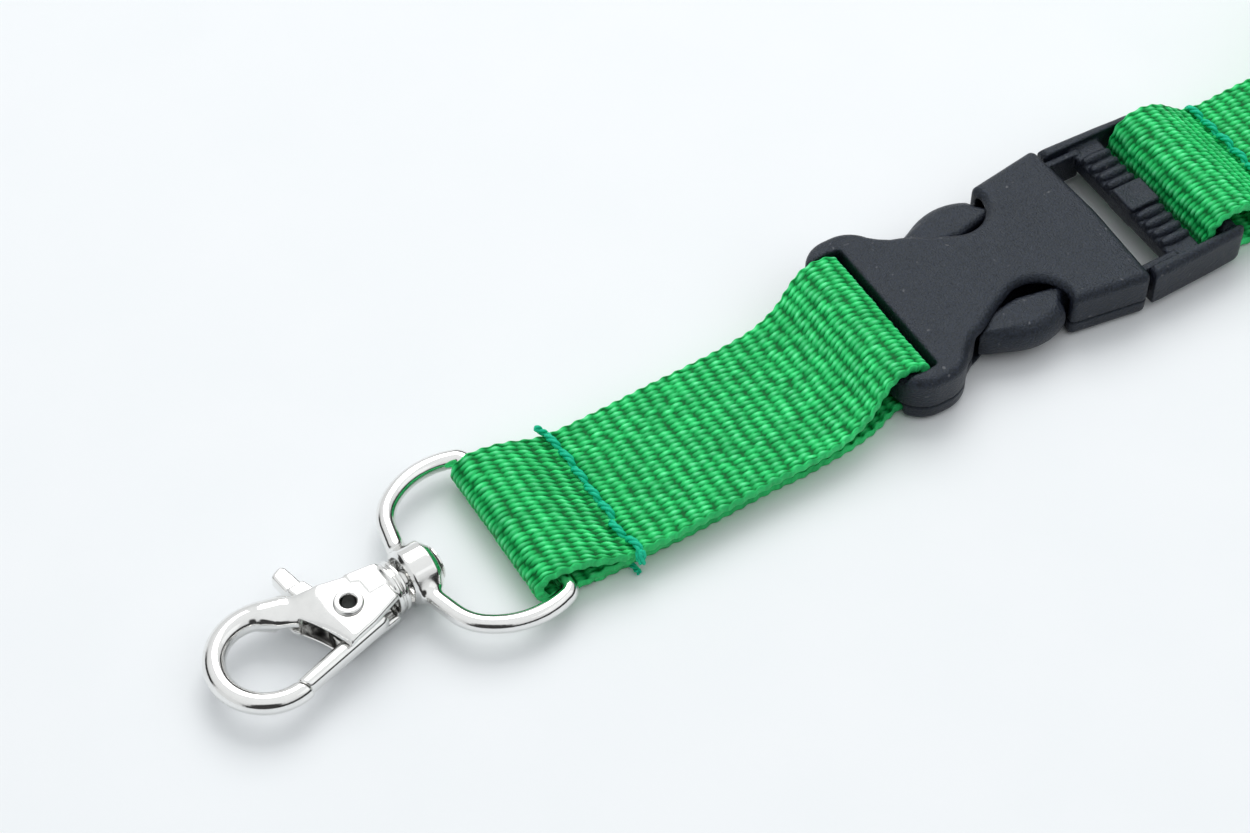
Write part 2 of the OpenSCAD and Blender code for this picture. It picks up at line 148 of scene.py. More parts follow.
def place(obj, body, node):
    """Says which body a piece rides and the CAD node that it replaces."""
    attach(obj, body)
    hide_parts(node)


def catmull(points, steps):
    p = np.asarray(points, float)
    q = np.vstack([p[0], p, p[-1]])
    t = (np.arange(steps) / steps)[:, None]
    out = []
    for a, b, c, d in zip(q, q[1:], q[2:], q[3:]):
        out.append(0.5 * (2 * b + (c - a) * t + (2 * a - 5 * b + 4 * c - d) * t**2
                          + (3 * b - a - 3 * c + d) * t**3))
    return np.vstack(out + [p[-1:]])


def distances_along(p):
    return np.concatenate([[0], np.cumsum(np.linalg.norm(np.diff(p, axis=0), axis=1))])


def at_distances(p, where):
    s = distances_along(p)
    return np.stack([np.interp(where, s, p[:, k]) for k in range(p.shape[1])], axis=1)


def unit(v):
    return v / np.maximum(np.linalg.norm(v, axis=-1, keepdims=True), 1e-12)


def ring_faces(rings, around, closed_path=False):
    """Quads between successive rings of vertices, with a cap at each end of an open path."""
    i = np.arange(rings if closed_path else rings - 1)[:, None]
    k = np.arange(around)[None, :]
    j, m = (i + 1) % rings, (k + 1) % around
    quads = np.stack([i * around + k, i * around + m, j * around + m, j * around + k], axis=-1)
    faces = quads.reshape(-1, 4).tolist()
    if not closed_path:
        faces.append(list(range(around))[::-1])
        faces.append([(rings - 1) * around + n for n in range(around)])
    return faces


# --- Distance fields ---

CELL = 1.0    # coarser cells while trying things


class Grid:
    """Sample points of a box. x, y and z broadcast against each other."""

    def __init__(self, low, high, step):
        step = np.broadcast_to(np.asarray(step, float) * CELL, (3,))
        self.low, self.step = np.asarray(low, float), step
        axes = [np.arange(a, b + s, s, dtype=np.float32) for a, b, s in zip(low, high, step)]
        self.x, self.y, self.z = axes[0][:, None, None], axes[1][None, :, None], axes[2][None, None, :]
        self.plan = np.stack(np.meshgrid(axes[0], axes[1], indexing="ij"), axis=-1)


def polygon_field(plan, outline):
    """Signed distance to an outline in the plan, negative inside."""
    p = plan.reshape(-1, 2).astype(np.float64)
    poly = np.asarray(outline, float)
    best = np.full(len(p), np.inf)
    sign = np.ones(len(p))
    for a, b in zip(poly, np.roll(poly, -1, axis=0)):
        e, w = b - a, p - a
        t = np.clip((w @ e) / max(e @ e, 1e-12), 0, 1)
        d = w - t[:, None] * e
        best = np.minimum(best, (d * d).sum(1))
        up = (p[:, 1] >= a[1]) & (p[:, 1] < b[1])
        down = (p[:, 1] < a[1]) & (p[:, 1] >= b[1])
        side = e[0] * w[:, 1] - e[1] * w[:, 0]
        sign[(up & (side > 0)) | (down & (side < 0))] *= -1
    return (sign * np.sqrt(best)).reshape(plan.shape[:2]).astype(np.float32)[:, :, None]


def tapered_field(g, points, radii):
    """A round tube in the plane z = 0 along points, its radius changing from one to the next."""
    p = g.plan.reshape(-1, 2).astype(np.float64)
    best, width = np.full(len(p), np.inf), np.zeros(len(p))
    pts, radii = np.asarray(points, float), np.asarray(radii, float)
    for a, b, ra, rb in zip(pts, pts[1:], radii, radii[1:]):
        e, w = b - a, p - a
        t = np.clip((w @ e) / max(e @ e, 1e-12), 0, 1)
        d = ((w - t[:, None] * e)**2).sum(1)
        near = d < best
        best = np.where(near, d, best)
        width = np.where(near, ra + (rb - ra) * t, width)
    shape = g.plan.shape[:2]
    far = np.sqrt(best).reshape(shape)[:, :, None]
    return (np.hypot(far, g.z) - width.reshape(shape)[:, :, None]).astype(np.float32)


def rounded(a, b, radius):
    """Where two fields are both negative, with the edge between them rounded."""
    a, b = a + radius, b + radius
    return np.minimum(np.maximum(a, b), 0) + np.hypot(np.maximum(a, 0), np.maximum(b, 0)) - radius


def thick(plan_field, z, z0, z1, radius):
    """A plan field given height."""
    return rounded(plan_field, np.abs(z - (z0 + z1) / 2) - (z1 - z0) / 2, radius)


def box_field(g, low, high, radius=0.0):
    low, high = np.asarray(low, float), np.asarray(high, float)
    mid, half = (low + high) / 2, (high - low) / 2 - radius
    d = [np.abs(v - m) - h for v, m, h in zip((g.x, g.y, g.z), mid, half)]
    inner = np.minimum(np.maximum(np.maximum(d[0], d[1]), d[2]), 0)
    return inner + np.sqrt(sum(np.maximum(v, 0) ** 2 for v in d)) - radius


def rod_x(g, x0, x1, radius, round_edge):
    """A round bar along X."""
    return thick(np.hypot(g.y, g.z) - radius, g.x, x0, x1, round_edge)


def join(a, b, k):
    h = np.clip(0.5 + 0.5 * (b - a) / k, 0, 1)
    return b * (1 - h) + a * h - k * h * (1 - h)


def cut(a, b, k):
    return -join(-a, b, k)


CORNERS = np.array([[x, y, z] for z in (0, 1) for y in (0, 1) for x in (0, 1)])
EDGES = [(a, b) for a in range(8) for b in range(a + 1, 8) if np.abs(CORNERS[a] - CORNERS[b]).sum() == 1]
PULLS = 2    # times that each vertex is drawn onto the surface


def surface(field, grid):
    """The zero surface of a field: one vertex in each cell that it crosses, drawn onto the surface."""
    f = np.pad(field, 1, constant_values=1.0)
    inside = f < 0
    n = np.array(f.shape) - 1
    count = sum(inside[x:n[0] + x, y:n[1] + y, z:n[2] + z].astype(np.int8) for x, y, z in CORNERS)
    active = (count > 0) & (count < 8)
    cell = np.argwhere(active)
    value = np.stack([f[tuple((cell + c).T)] for c in CORNERS], axis=1).astype(float)
    total, crossed = np.zeros((len(cell), 3)), np.zeros(len(cell))
    for a, b in EDGES:
        m = (value[:, a] < 0) != (value[:, b] < 0)
        t = np.where(m, value[:, a] / np.where(m, value[:, a] - value[:, b], 1), 0)
        total += m[:, None] * (CORNERS[a] + t[:, None] * (CORNERS[b] - CORNERS[a]))
        crossed += m
    local = total / crossed[:, None]
    for _ in range(PULLS):
        w = [np.where(CORNERS[None, :, k] == 1, local[:, None, k], 1 - local[:, None, k])
             for k in range(3)]
        here = (value * w[0] * w[1] * w[2]).sum(1)
        sign = np.where(CORNERS == 1, 1, -1)
        slope = np.stack([(value * sign[None, :, k] * w[k - 2] * w[k - 1]).sum(1)
                          for k in range(3)], axis=1)
        move = here[:, None] * slope / np.maximum((slope**2).sum(1), 1e-9)[:, None]
        local = np.clip(local - np.clip(move, -0.5, 0.5), 0.02, 0.98)
    verts = (cell + local - 1) * grid.step + grid.low
    number = np.full(active.shape, -1, np.int64)
    number[active] = np.arange(len(cell))
    quads = []
    for axis in range(3):
        u, v = (axis + 1) % 3, (axis + 2) % 3
        ahead = np.moveaxis(inside, axis, 0)
        e = np.argwhere(ahead[:-1] != ahead[1:])
        at = np.empty_like(e)
        at[:, [axis] + [k for k in range(3) if k != axis]] = e
        du, dv = np.eye(3, dtype=int)[u], np.eye(3, dtype=int)[v]
        q = np.stack([number[tuple((at - du - dv).T)], number[tuple((at - dv).T)],
                      number[tuple(at.T)], number[tuple((at - du).T)]], axis=1)
        flip = ~inside[tuple(at.T)]
        q[flip] = q[flip][:, ::-1]
        quads.append(q)
    return verts, np.vstack(quads)


def arc(centre, r, a, b, n=24):
    w = np.radians(np.linspace(a, b, n + 1))
    return [(centre[0] + r * math.cos(t), centre[1] + r * math.sin(t)) for t in w]


def mirrored(points):
    return [(x, -y) for x, y in reversed(points)]


# --- Materials ---


class Nodes:
    """A new material's node tree, with short ways to add and link nodes."""

    def __init__(self, name):
        self.material = bpy.data.materials.new(name)
        self.material.use_nodes = True
        self.tree = self.material.node_tree
        self.tree.nodes.clear()
        self.bsdf = self.add("ShaderNodeBsdfPrincipled")
        out = self.add("ShaderNodeOutputMaterial")
        self.link(self.bsdf.outputs[0], out.inputs[0])

    def add(self, kind, **settings):
        node = self.tree.nodes.new(kind)
        for key, value in settings.items():
            setattr(node, key, value)
        return node

    def link(self, a, b):
        self.tree.links.new(a, b)

    def attribute(self, name):
        return self.add("ShaderNodeAttribute", attribute_name=name)

    def place(self):
        return self.add("ShaderNodeTexCoord").outputs["Object"]

    def noise(self, vector, scale, detail=3.0, rough=0.5, dims="3D"):
        node = self.add("ShaderNodeTexNoise", noise_dimensions=dims)
        self.link(vector, node.inputs["Vector"])
        node.inputs["Scale"].default_value = scale
        node.inputs["Detail"].default_value = detail
        node.inputs["Roughness"].default_value = rough
        return node.outputs["Fac"]

    def scaled(self, vector, scale):
        node = self.add("ShaderNodeVectorMath", operation="MULTIPLY")
        self.link(vector, node.inputs[0])
        node.inputs[1].default_value = scale
        return node.outputs[0]

    def ramp(self, value, *stops):
        node = self.add("ShaderNodeValToRGB")
        self.link(value, node.inputs[0])
        while len(node.color_ramp.elements) < len(stops):
            node.color_ramp.elements.new(0.5)
        for element, (where, colour) in zip(node.color_ramp.elements, stops):
            element.position = where
            grey = isinstance(colour, (int, float))
            element.color = (colour,) * 3 + (1,) if grey else tuple(colour) + (1,)
        return node.outputs["Color"]

    def math(self, kind, a, b):
        node = self.add("ShaderNodeMath", operation=kind)
        for k, v in enumerate((a, b)):
            if isinstance(v, (int, float)):
                node.inputs[k].default_value = v
            else:
                self.link(v, node.inputs[k])
        return node.outputs[0]

    def mix(self, factor, a, b, blend="MIX"):
        node = self.add("ShaderNodeMix", data_type="RGBA", blend_type=blend)
        for key, v in ((0, factor), (6, a), (7, b)):
            if isinstance(v, (int, float)):
                node.inputs[key].default_value = v
            elif isinstance(v, tuple):
                node.inputs[key].default_value = v + (1,)
            else:
                self.link(v, node.inputs[key])
        return node.outputs[2]

    def bump(self, height, strength, distance_mm):
        node = self.add("ShaderNodeBump")
        self.link(height, node.inputs["Height"])
        node.inputs["Strength"].default_value = strength
        node.inputs["Distance"].default_value = distance_mm * MM
        self.link(node.outputs[0], self.bsdf.inputs["Normal"])

    def set(self, **values):
        for key, v in values.items():
            socket = self.bsdf.inputs[key.replace("_", " ")]
            if isinstance(v, (int, float)):
                socket.default_value = v
            elif isinstance(v, tuple):
                socket.default_value = v + (1,) if len(v) == 3 and socket.type == "RGBA" else v
            else:
                self.link(v, socket)


def webbing_material():
    """Bright green polyester: each float with its own random tone and filament streaks. The colour follows
    the weave's height: darkest in the crevices as painted shade, lightest on the floats' tops as a painted
    highlight.
    """
    n = Nodes("webbing_green")
    weave = n.attribute("weave").outputs["Vector"]
    relief_shading = n.attribute("relief_shading").outputs["Fac"]
    tone = n.attribute("tone").outputs["Fac"]
    streak = n.noise(n.scaled(weave, (11.0, 0.9, 1.0)), 1.0, 2.0, 0.6)
    mottle = n.noise(n.scaled(weave, (0.25, 0.12, 1.0)), 1.0, 2.0)
    # Colour by the weave's height. The dark low stops are painted shade in the crevices, the top stop is a
    # painted highlight on each float's crown, and the middle stops are the green's own colour.
    colour = n.ramp(relief_shading, (0.0, (0.0, 0.15, 0.03)), (0.16, (0.002, 0.29, 0.06)),
                    (0.42, (0.01, 0.46, 0.105)), (0.75, (0.04, 0.66, 0.19)), (1.0, (0.17, 0.9, 0.4)))
    for lit in (n.ramp(streak, (0.3, 0.8), (0.7, 1.1)), n.ramp(tone, (0.0, 0.84), (1.0, 1.18)),
                n.ramp(mottle, (0.3, 0.92), (0.7, 1.06))):
        colour = n.mix(1.0, colour, lit, "MULTIPLY")
    n.set(Base_Color=colour, Roughness=0.5, Specular_IOR_Level=0.12)
    n.bump(streak, 0.5, 0.04)
    return n.material


def thread_material():
    n = Nodes("thread_teal")
    ply_shade = n.attribute("ply_shade").outputs["Fac"]
    fuzz = n.noise(n.place(), 9000.0, 2.0)
    # Colour by how far each ply faces out. It is darker where the plies turn in toward each other, as
    # painted shade between them, and lighter on their outer crowns.
    colour = n.ramp(ply_shade, (0.0, (0.0, 0.09, 0.045)), (0.5, (0.0, 0.36, 0.19)), (1.0, (0.01, 0.6, 0.34)))
    colour = n.mix(1.0, colour, n.ramp(fuzz, (0.3, 0.8), (0.7, 1.15)), "MULTIPLY")
    n.set(Base_Color=colour, Roughness=0.5, Specular_IOR_Level=0.2)
    n.bump(fuzz, 0.3, 0.03)
    return n.material


def plastic_material():
    """Charcoal acetal with a fine moulded grain, a few pale specks, and slightly worn tone on its faces."""
    n = Nodes("buckle_charcoal")
    here = n.place()
    grain = n.noise(here, 3600.0, 3.0, 0.6)
    cloud = n.noise(here, 260.0, 3.0)
    specks = n.noise(here, 1500.0, 0.0)
    colour = n.ramp(cloud, (0.3, (0.005, 0.0065, 0.012)), (0.7, (0.0075, 0.0095, 0.0165)))
    colour = n.mix(1.0, colour, n.ramp(grain, (0.38, 0.3), (0.62, 2.0)), "MULTIPLY")
    colour = n.mix(n.ramp(specks, (0.8, 0.0), (0.88, 0.6)), colour, (0.16, 0.16, 0.17))
    rough = n.ramp(grain, (0.3, 0.3), (0.7, 0.5))
    n.set(Base_Color=colour, Roughness=rough, Specular_IOR_Level=0.46, Specular_Tint=(0.8, 0.9, 1.0))
    n.bump(grain, 1.0, 0.16)
    return n.material


def nickel_material(name="nickel_bright", colour=(0.87, 0.865, 0.85), low=0.08, high=0.17):
    """Bright plating: smooth, with faint polishing haze and shallow casting waves."""
    n = Nodes(name)
    here = n.place()
    haze = n.noise(here, 900.0, 4.0, 0.6)
    waves = n.noise(here, 330.0, 2.0)
    tint = n.mix(n.ramp(haze, (0.35, 0.0), (0.8, 0.35)), colour, tuple(0.86 * c for c in colour))
    n.set(Base_Color=tint, Metallic=1.0, Roughness=n.ramp(haze, (0.3, low), (0.75, high)))
    n.bump(waves, 0.12, 0.06)
    return n.material


def tie_material():
    n = Nodes("tie_black")
    here = n.place()
    loops = n.add("ShaderNodeTexVoronoi")
    n.link(here, loops.inputs["Vector"])
    loops.inputs["Scale"].default_value = 2600.0
    fuzz = n.noise(here, 5000.0, 3.0)
    height = n.math("MULTIPLY", loops.outputs["Distance"], fuzz)
    colour = n.ramp(height, (0.0, (0.035, 0.035, 0.038)), (0.4, (0.008, 0.008, 0.009)))
    n.set(Base_Color=colour, Roughness=0.85, Sheen_Weight=0.3)
    n.bump(height, 0.6, 0.2)
    return n.material


def floor_material():
    n = Nodes("tabletop")
    grain = n.noise(n.place(), 60.0, 3.0)
    colour = n.ramp(grain, (0.3, (0.85, 0.875, 0.895)), (0.7, (0.865, 0.885, 0.905)))
    n.set(Base_Color=colour, Roughness=0.6)
    return n.material


# --- Webbing ---

PER_RIB_OUTER, PER_RIB_INNER = 6, 3    # vertices across each rib
TANGENT_REACH = 0.12
EDGE_ROUND = 0.22
EDGE_LOOP, EDGE_IN = 0.1, 0.03
EDGE_WANDER, EDGE_WANDER_PITCH = 0.05, 4.0
SEAM_HALF_W, SEAM_DENT, SEAM_DENT_UNDER = 0.75, 0.34, 0.06
FLOAT_HALF = 0.535 * FLOAT_PITCH       # half the length of a float


def hank_line():
    """Middle of the hank's doubled webbing, run by run, as in the part."""
    points = []
    for k in range(HANK_RUNS):
        z = HANK_LIFT + LAYER + 0.05 + k * RUN_PITCH
        out = k % 2 == 0
        xa = HANK_X0 + (0 if k == 0 else 3) if out else HANK_X0 + HANK_RUN - 3
        xb = HANK_X0 + HANK_RUN - 3 if out else HANK_X0 + 3
        points += [[xa + (xb - xa) * j / 3, z, 0] for j in range(4)]
        if k < HANK_RUNS - 1:
            side, r = (1 if out else -1), RUN_PITCH / 2
            for i in range(1, FOLD_STEPS):
                w = math.radians(-90 + 180 * i / FOLD_STEPS)
                points.append([xb + side * r * math.cos(w), z + r + r * math.sin(w), 0])
    return points


def moved(points, d):
    p = np.asarray(points, float)
    ahead = np.vstack([p[1:], p[-1:]]) - np.vstack([p[:1], p[:-1]])
    t = unit(ahead[:, :2])
    return np.column_stack([p[:, 0] - d * t[:, 1], p[:, 1] + d * t[:, 0], p[:, 2]]).tolist()


def neck_route():
    h = hank_line()
    e = h[-1]
    turn = [[e[0] + 1, e[1] + PAIR_HALF * 0.7, 0], [e[0] + 1.4, e[1], 0],
            [e[0] + 1, e[1] - PAIR_HALF * 0.7, 0]]
    there = NECK_FRONT + [[50, 3.7, 0]] + moved(h, PAIR_HALF)
    back = moved(h, -PAIR_HALF)[::-1] + [[50, 2.25, 0]] + NECK_BACK_END
    return there + turn + back


def weave_height(s, w, seed, lean_at):
    """Height 0 to 1 and tone 0 to 1 of the weave at s along and w across: oval floats in a brick bond.
    lean_at gives the floats' lean at places along the webbing, where the sewing has skewed it."""
    rng = np.random.default_rng(seed)
    columns = int(s.max() / FLOAT_PITCH) + 4
    size = (columns, RIBS + 3)
    shift, tall = rng.normal(0, 0.07, size), rng.uniform(0.82, 1.0, size)
    along = (np.arange(columns) - 0.5) * FLOAT_PITCH
    lean = rng.normal(0, 0.05, size) + np.interp(along, *zip(*lean_at))[:, None]
    tones = rng.uniform(0, 1, size)
    wide = rng.uniform(0.94, 1.05, size)
    rib = (w / WEB_W + 0.5) * RIBS
    height = tone = np.zeros(np.broadcast(s, w).shape)
    first = np.floor(s / FLOAT_PITCH).astype(int)
    for step in (-1, 0, 1):
        k = first + step
        kk = np.clip(k + 1, 0, columns - 1)
        bond = 0.5 * (k % 2)
        j = np.floor(rib + bond).astype(int)
        jj = np.clip(j + 1, 0, RIBS + 2)
        ds = s - (k + 0.5 + shift[kk, jj]) * FLOAT_PITCH
        across = (rib + bond - j - 0.5) + lean[kk, jj] * ds / RIB_PITCH
        rise = np.cos(np.clip(ds / FLOAT_HALF, -1, 1) * math.pi / 2)
        body = np.clip(1 - (across / (0.5 * wide[kk, jj] * (0.35 + 0.65 * rise**0.55)))**2, 0, 1)
        h = tall[kk, jj] * rise**0.85 * body**0.42
        better = h > height
        height, tone = np.where(better, h, height), np.where(better, tones[kk, jj], tone)
    return height, tone


def selvedge(s, side, seed):
    """How far the woven edge stands out at s: a small loop of weft at each column, and a slow wander."""
    rng = np.random.default_rng(seed + side)
    knots = np.arange(0, s.max() + 9, EDGE_WANDER_PITCH)
    wander = np.interp(s, knots, rng.normal(0, EDGE_WANDER, len(knots)))
    return EDGE_LOOP * np.cos(2 * math.pi * s / FLOAT_PITCH + side) - EDGE_LOOP + wander - EDGE_IN


def strap(name, body, route, seed, steps_mm, seams, lean_at):
    """A strap of webbing as one closed mesh, its ribs and floats modelled on both faces.
    steps_mm gives (up to this distance, spacing) in order. seams are where the sewing pulls it down."""
    line = catmull(route, 10)
    length = distances_along(line)[-1]
    where, s = [0.0], 0.0
    for upto, step in steps_mm:
        while s < min(upto, length) - step:
            s += step
            where.append(s)
    where = np.array(where + [length])
    p = at_distances(line, where)
    ahead = at_distances(line, np.clip(where + TANGENT_REACH, 0, length))
    behind = at_distances(line, np.clip(where - TANGENT_REACH, 0, length))
    t = unit((ahead - behind)[:, :2])
    outward = np.stack([-t[:, 1], np.zeros(len(t)), t[:, 0]], axis=1)

    # One cross section: the outer face, a rounded edge, the inner face and the other edge.
    outer, inner = np.ones(RIBS * PER_RIB_OUTER + 1), np.ones(RIBS * PER_RIB_INNER + 1)
    edge = np.radians([60, 30, 0, -30, -60])
    side = np.ones(len(edge))
    flat = np.concatenate([np.linspace(-1, 1, len(outer)), side, np.linspace(1, -1, len(inner)), -side])
    level = np.concatenate([outer, np.sin(edge), -inner, -np.sin(edge)])
    bulge = np.concatenate([0 * outer, np.cos(edge), 0 * inner, -np.cos(edge)])
    face = np.concatenate([outer, 0 * side, -inner, 0 * side])

    half = WEB_W / 2 - EDGE_ROUND
    S, F = np.meshgrid(where, flat, indexing="ij")
    h_out, tone_out = weave_height(S, F * half, seed, lean_at)
    h_in, tone_in = weave_height(S + FLOAT_PITCH, -F * half, seed + 7, lean_at)
    h = np.where(face[None, :] >= 0, h_out, h_in)
    tone = np.where(face[None, :] >= 0, tone_out, tone_in)
    on_face = np.abs(face)[None, :]
    fade = np.clip((1 - np.abs(F)) * 22, 0, 1)
    depth = RELIEF * (1 - h) * on_face * (0.35 + 0.65 * fade)
    for seam_s in seams:
        gap = np.exp(-((S - seam_s) / SEAM_HALF_W)**2)
        pulled = 0.72 + 0.28 * np.cos(2 * math.pi * F * half / STITCH)
        depth = depth + np.where(face[None, :] > 0, SEAM_DENT, SEAM_DENT_UNDER) * gap * pulled * on_face
    out = level[None, :] * (WEB_T / 2) - np.sign(level)[None, :] * depth
    reach = np.where(flat[None, :] > 0, selvedge(S, 1, seed), selvedge(S, 0, seed))
    across = F * half + (np.abs(F)**12) * np.sign(F) * reach + bulge[None, :] * EDGE_ROUND
    verts = p[:, None, [0, 2, 1]] + outward[:, None, :] * out[:, :, None]
    verts[:, :, 1] += across
    rings, around = len(where), len(flat)
    # The weave's height, passed to the webbing material, which turns it into painted shade in the crevices
    # and a painted highlight on the floats' tops.
    relief_shading = np.where(on_face > 0, h, 0.75)
    weave = np.stack([across, S, np.zeros_like(S)], axis=-1)
    obj = make_mesh(name + "_webbing", verts.reshape(-1, 3), ring_faces(rings, around), webbing_green, {
        "relief_shading": ("FLOAT", relief_shading), "tone": ("FLOAT", tone), "weave": ("FLOAT_VECTOR", weave)})
    flip_if_inside_out(obj)
    place(obj, body, name)


def flip_if_inside_out(obj):
    co = np.zeros(len(obj.data.vertices) * 3)
    obj.data.vertices.foreach_get("co", co)
    obj.data.calc_loop_triangles()
    tri = np.zeros(len(obj.data.loop_triangles) * 3, np.int32)
    obj.data.loop_triangles.foreach_get("vertices", tri)
    a, b, c = co.reshape(-1, 3)[tri.reshape(-1, 3)].transpose(1, 0, 2)
    if np.einsum("ij,ij->i", a, np.cross(b, c)).sum() < 0:
        obj.data.flip_normals()


# --- Thread and wire ---


def round_section(u, v, radius, sides):
    """Circles in the planes of the vectors u and v, as offsets from their middles."""
    w = np.linspace(0, 2 * math.pi, sides, endpoint=False)
    return radius * (np.cos(w)[None, :, None] * u[:, None] + np.sin(w)[None, :, None] * v[:, None])


def swept(name, line, radius, material, sides):
    """A round wire along a line."""
    p = np.asarray(line, float)
    t = unit(np.gradient(p, axis=0))
    u = np.zeros_like(p)
    ref = np.array([0, 0, 1.0]) if abs(t[0][2]) < 0.9 else np.array([1.0, 0, 0])
    u[0] = unit(np.cross(t[0], ref))
    for i in range(1, len(p)):
        v = u[i - 1] - t[i] * (u[i - 1] @ t[i])
        u[i] = v / max(np.linalg.norm(v), 1e-9)
    v = np.cross(t, u)
    verts = p[:, None] + round_section(u, v, radius, sides)
    obj = make_mesh(name, verts.reshape(-1, 3), ring_faces(len(p), sides), material)
    flip_if_inside_out(obj)
    return obj


PLIES = 3
PLY_SIDES = 9
THREAD_STEP = 0.1
NEARLY_UP = np.array([0.13, 0.02, 1.0])    # a direction that no thread runs along


def plied(name, line, ply_r, pitch, material):
    """Sewing thread: plies wound round the line, each a bundle of filaments."""
    line = np.asarray(line, float)
    p = at_distances(line, np.arange(0, distances_along(line)[-1], THREAD_STEP))
    t = unit(np.gradient(p, axis=0))
    side = unit(np.cross(t, NEARLY_UP))
    up = np.cross(side, t)
    s = distances_along(p)
    verts, faces, lay = [], [], []
    for k in range(PLIES):
        a = 2 * math.pi * (s / pitch + k / PLIES)
        middle = p + ply_r * (np.cos(a)[:, None] * side + np.sin(a)[:, None] * up)
        along = unit(np.gradient(middle, axis=0))
        u = unit(np.cross(along, NEARLY_UP))
        v = np.cross(along, u)
        ring = middle[:, None] + round_section(u, v, ply_r, PLY_SIDES)
        start = sum(len(r) for r in verts)
        verts.append(ring.reshape(-1, 3))
        faces += [[n + start for n in face] for face in ring_faces(len(p), PLY_SIDES)]
        # How far each ply's surface faces out from the thread's middle. The thread material colours the
        # inward side darker, as painted shade between the plies.
        out = unit(ring - p[:, None])
        facing = (out * (ring - middle[:, None]) / ply_r).sum(-1)
        lay.append(np.clip(0.5 + 0.5 * facing, 0, 1).reshape(-1))
    obj = make_mesh(name, np.vstack(verts), faces, material, {"ply_shade": ("FLOAT", np.concatenate(lay))})
    flip_if_inside_out(obj)
    return obj


def stitch_line(x, y0, count, z_face, dip, lift, wobble, seed, up=1):
    """A lock stitch's thread on one face: it arches over each stitch and dips into each hole."""
    rng = np.random.default_rng(seed)
    points = []
    for i in range(count):
        sway = rng.normal(0, wobble)
        for k in range(10):
            f = k / 10
            y = y0 + (i + f) * STITCH
            rise = math.sin(math.pi * f)**0.45
            z = z_face + (lift * rise - dip * (1 - rise)) * up
            points.append([x + sway * rise + 0.12 * math.sin(2 * math.pi * f), y, z])
    points.append([x, y0 + count * STITCH, z_face - dip * up])
    return points


# --- Hook, ring and their small parts ---


def own_frame(joint_point, yaw):
    m = Matrix.Rotation(yaw, 4, "Z")
    m.translation = Vector(joint_point) / MM
    return m


def moved_into(verts, m):
    r = np.array(m, float)
    return verts @ r[:3, :3].T + r[:3, 3]


# --- Where things are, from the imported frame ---

webbing_green = webbing_material()
thread_teal = thread_material()
charcoal = plastic_material()
nickel = nickel_material()
rivet_metal = nickel_material("nickel_rivet", (0.80, 0.795, 0.78), 0.09, 0.2)
spring_metal = nickel_material("spring_wire", (0.50, 0.50, 0.51), 0.18, 0.3)
tie_cloth = tie_material()

ring_axis = Vector(JOINTS["ring_hinge"]["axis"])
swivel = JOINTS["hook_swivel"]
RING_YAW = math.atan2(-ring_axis.x, ring_axis.y)
HOOK_YAW = math.atan2(swivel["axis"][1], swivel["axis"][0])
IN_RING = own_frame(swivel["pos_m"], RING_YAW)
IN_HOOK = own_frame(swivel["pos_m"], HOOK_YAW)
PIVOT = (IN_HOOK.inverted() @ (Vector(JOINTS["gate_hinge"]["pos_m"]) / MM)).to_2d()

lookat_camera("camera", target=(-46.12, 4.02, 3.0), azimuth=-31.20, elevation=51.17, roll=0.34,
              distance=337.06, lens=83.88288)

# --- Straps and their sewing ---

hook_line = catmull(HOOK_ROUTE, 10)
neck_line = catmull(neck_route(), 10)


def seam_distances(line, x):
    """Distances along the webbing where it passes under a seam at x."""
    s = distances_along(line)
    near = np.abs(line[:, 0] - x)
    return [s[i] for i in range(1, len(line) - 1)
            if near[i] <= near[i - 1] and near[i] < near[i + 1] and near[i] < 0.6]


FINE_STEP, COARSE_STEP = 0.19, 0.6    # the photograph shows none of the folded hank
NECK_SHOWN = 62.0
hook_seams = seam_distances(hook_line, SEAM_HOOK[0])
strap("hook_strap", "female_half", HOOK_ROUTE, RNG_SEED, [(math.inf, FINE_STEP)], hook_seams,
      [(0, 0.12), (hook_seams[1] - 7, 0.16), (hook_seams[1] - 2.5, 0.42), (hook_seams[1], 0.42),
       (hook_seams[1] + 2.5, 0.12)])
strap("neck_strap", "male_half", neck_route(), RNG_SEED + 1,
      [(NECK_SHOWN, FINE_STEP), (math.inf, COARSE_STEP)], seam_distances(neck_line, SEAM_NECK[0]),
      [(0, 0.12)])


def sewing(node, seam, z_top, body, seed, tail):
    """A seam's needle thread on top and bobbin thread underneath."""
    x, y = seam
    count = 7
    start = y - count * STITCH / 2
    top = stitch_line(x, start, count, z_top, 0.95, 0.1, 0.16, seed)
    if tail:
        down = [[x + 0.45, start + 0.5, z_top - 0.1], [x + 0.4, start - 0.05, z_top + 0.02],
                [x + 0.3, start - 0.42, z_top - 0.5], [x + 0.05, start - 0.5, z_top - 1.3]]
        top = down[::-1] + top
        end = y + count * STITCH / 2
        top += [[x - 0.5, end + 0.4, z_top + 0.2], [x - 1.0, end + 0.7, z_top + 0.3]]
    top = catmull(top[::2] + [top[-1]], 6)
    needle = plied(node + "_seam_needle", top, THREAD_PLY_R, THREAD_TWIST, thread_teal)
    place(needle, body, node + "_needle_thread")
    under = stitch_line(x, start, count, 0.3, 0.3, -0.02, 0.08, seed + 1, up=-1)
    under = catmull(under[::2] + [under[-1]], 4)
    bobbin = plied(node + "_seam_bobbin", under, THREAD_PLY_R * 0.8, THREAD_TWIST, thread_teal)
    place(bobbin, body, node + "_bobbin_thread")


sewing("hook_strap", SEAM_HOOK, 4.18, "female_half", 3, True)
sewing("neck_strap", SEAM_NECK, 4.26, "male_half", 5, False)

# --- Buckle ---

WINDOW_AT, WINDOW_R, WINDOW_END = (3, 9.3), 4.3, 7
MOUTH_HW = 12.2
LIP = 0.35    # step round the mouth
SLOT_X, SLOT_HW = (-14.6, -12.5), 10.3
TAIL_BAR_Z = (2.1, 5.8)

